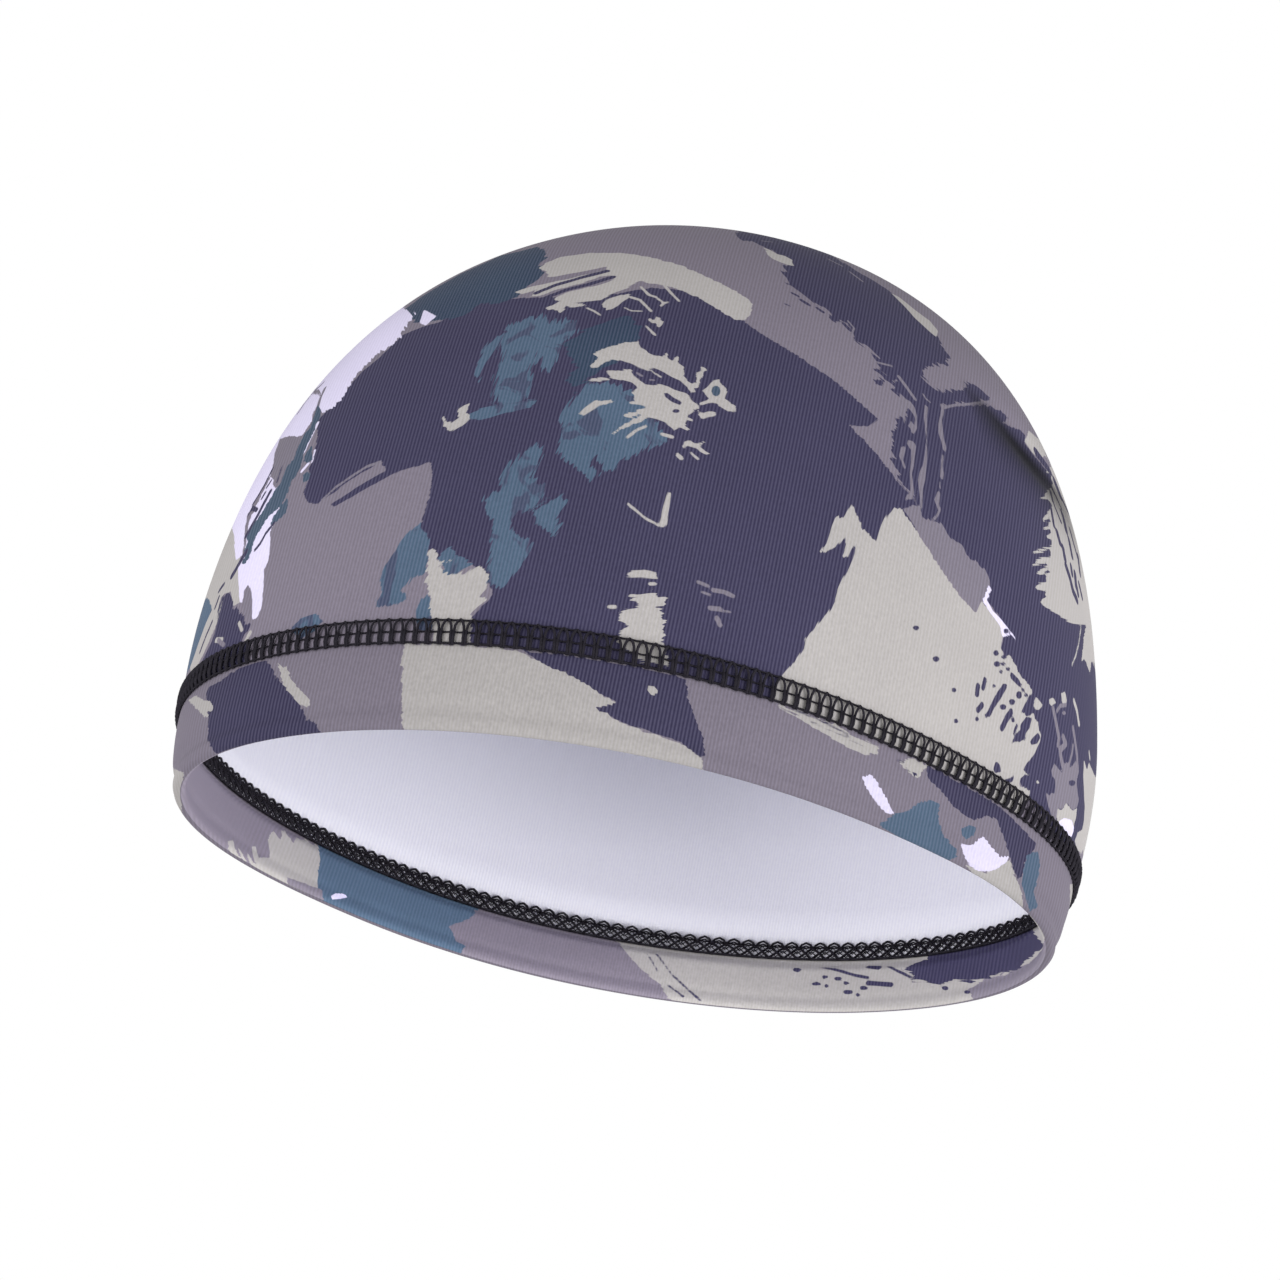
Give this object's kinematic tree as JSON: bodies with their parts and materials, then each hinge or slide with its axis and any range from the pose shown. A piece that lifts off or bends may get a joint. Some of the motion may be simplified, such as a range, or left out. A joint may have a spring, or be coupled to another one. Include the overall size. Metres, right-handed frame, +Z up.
{
  "type": "helmet liner",
  "caption": "Close-fitting skull cap of printed stretch knit with a folded elastic hem, worn under a helmet to cushion the head and take up sweat",
  "frame": {"origin": "on the inside of the crown, where the top of the head bears", "axes": "+Z is up as worn, the front of the head faces -Y, the back +Y, and the wearer's left is +X"},
  "size_m": [0.158, 0.1982, 0.147],
  "materials": {
    "crown_knit": "smooth stretch knit, brush-stroke camouflage printed outside, white inside",
    "band_knit": "smooth stretch knit folded double, brush-stroke camouflage on both faces",
    "seam_thread": "textured stretch thread, matte near-black"
  },
  "bodies": {
    "root": {"crown": "crown_knit", "hem_band": "band_knit", "outer_seam": "seam_thread", "inner_seam": "seam_thread"}
  },
  "joints": []
}
